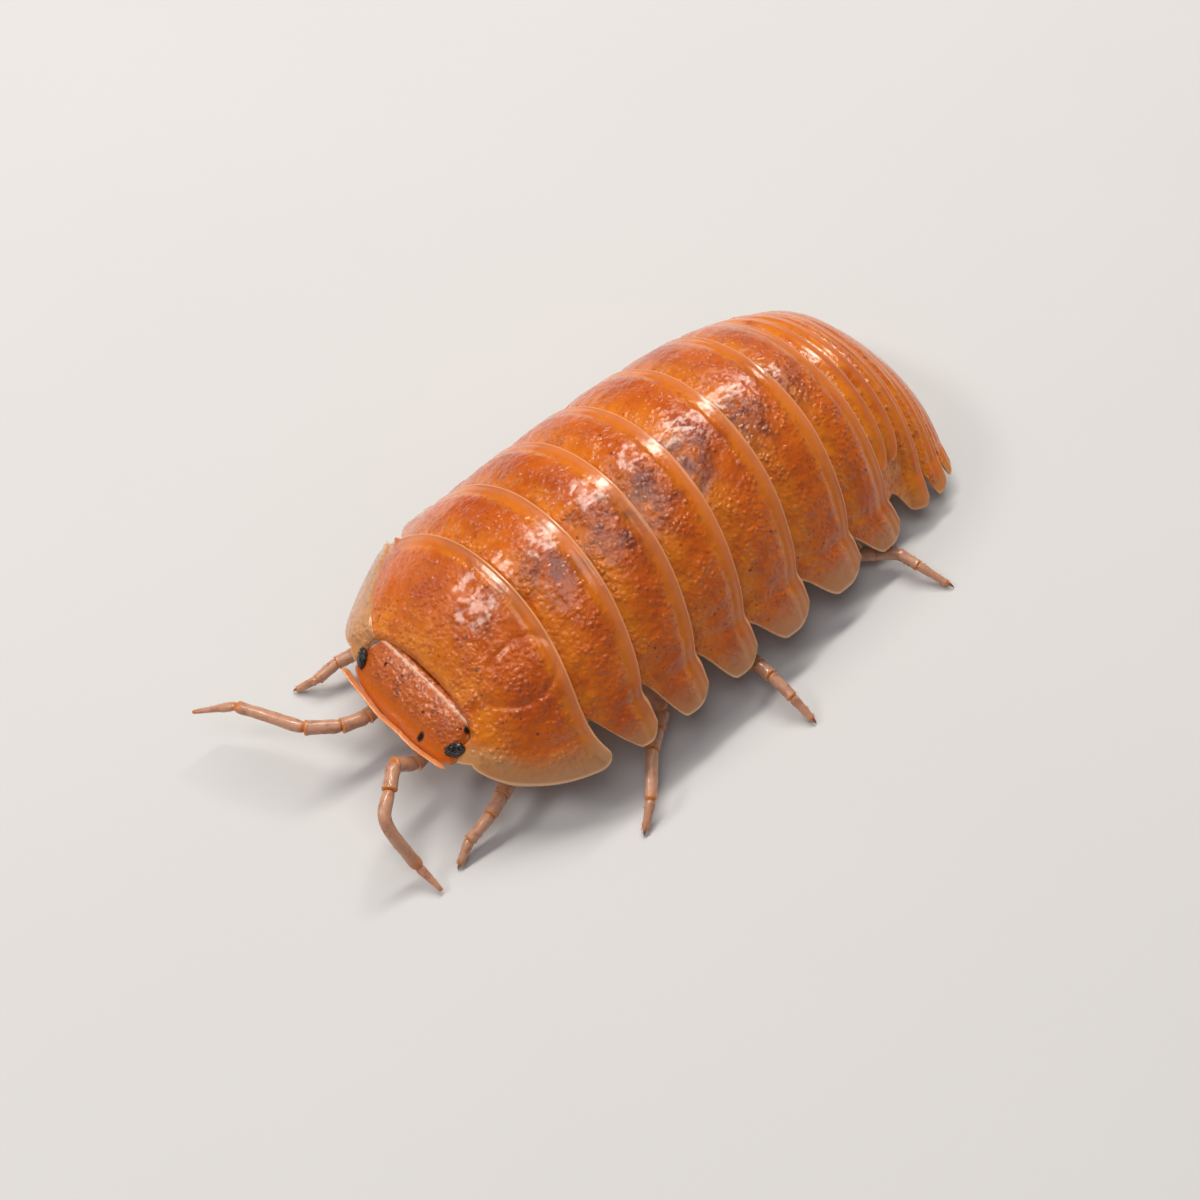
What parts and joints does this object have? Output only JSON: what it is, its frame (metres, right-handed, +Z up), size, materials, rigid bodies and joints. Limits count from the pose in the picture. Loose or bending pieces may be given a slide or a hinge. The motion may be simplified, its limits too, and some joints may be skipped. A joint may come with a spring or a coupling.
{
  "type": "woodlouse",
  "caption": "Life-size still model of a pill woodlouse walking, with arched overlapping plates, flared side lobes, feelers and jointed legs.",
  "frame": {"origin": "on the floor, below the middle of the whole animal's box", "axes": "+Z up, -Y the way the animal faces, +X its left side"},
  "size_m": [0.0128, 0.0228, 0.0059],
  "materials": {
    "shell": "glossy translucent amber orange plate with rust mottling and a pale pinkish rear rim",
    "head": "granular rust orange head with a pale front ridge",
    "limb": "translucent mauve brown jointed limbs",
    "eye": "black faceted eye",
    "under": "pale soft underside"
  },
  "bodies": {
    "root": {"pereonite_1": "shell", "pereonite_2": "shell", "pereonite_3": "shell", "pereonite_4": "shell", "pereonite_5": "shell", "pereonite_6": "shell", "pereonite_7": "shell", "pleonite_1": "shell", "pleonite_2": "shell", "pleonite_3": "shell", "pleonite_4": "shell", "pleonite_5": "shell", "telson": "shell", "uropod_left": "shell", "uropod_right": "shell", "head": "head", "mouthparts": "under", "pleopods": "under", "eye_left": "eye", "eye_right": "eye", "antenna_left": "limb", "antenna_right": "limb", "leg_left_1": "limb", "leg_left_2": "limb", "leg_left_3": "limb", "leg_left_4": "limb", "leg_left_5": "limb", "leg_left_6": "limb", "leg_left_7": "limb", "leg_right_1": "limb", "leg_right_2": "limb", "leg_right_3": "limb", "leg_right_4": "limb", "leg_right_5": "limb", "leg_right_6": "limb", "leg_right_7": "limb"}
  },
  "joints": []
}
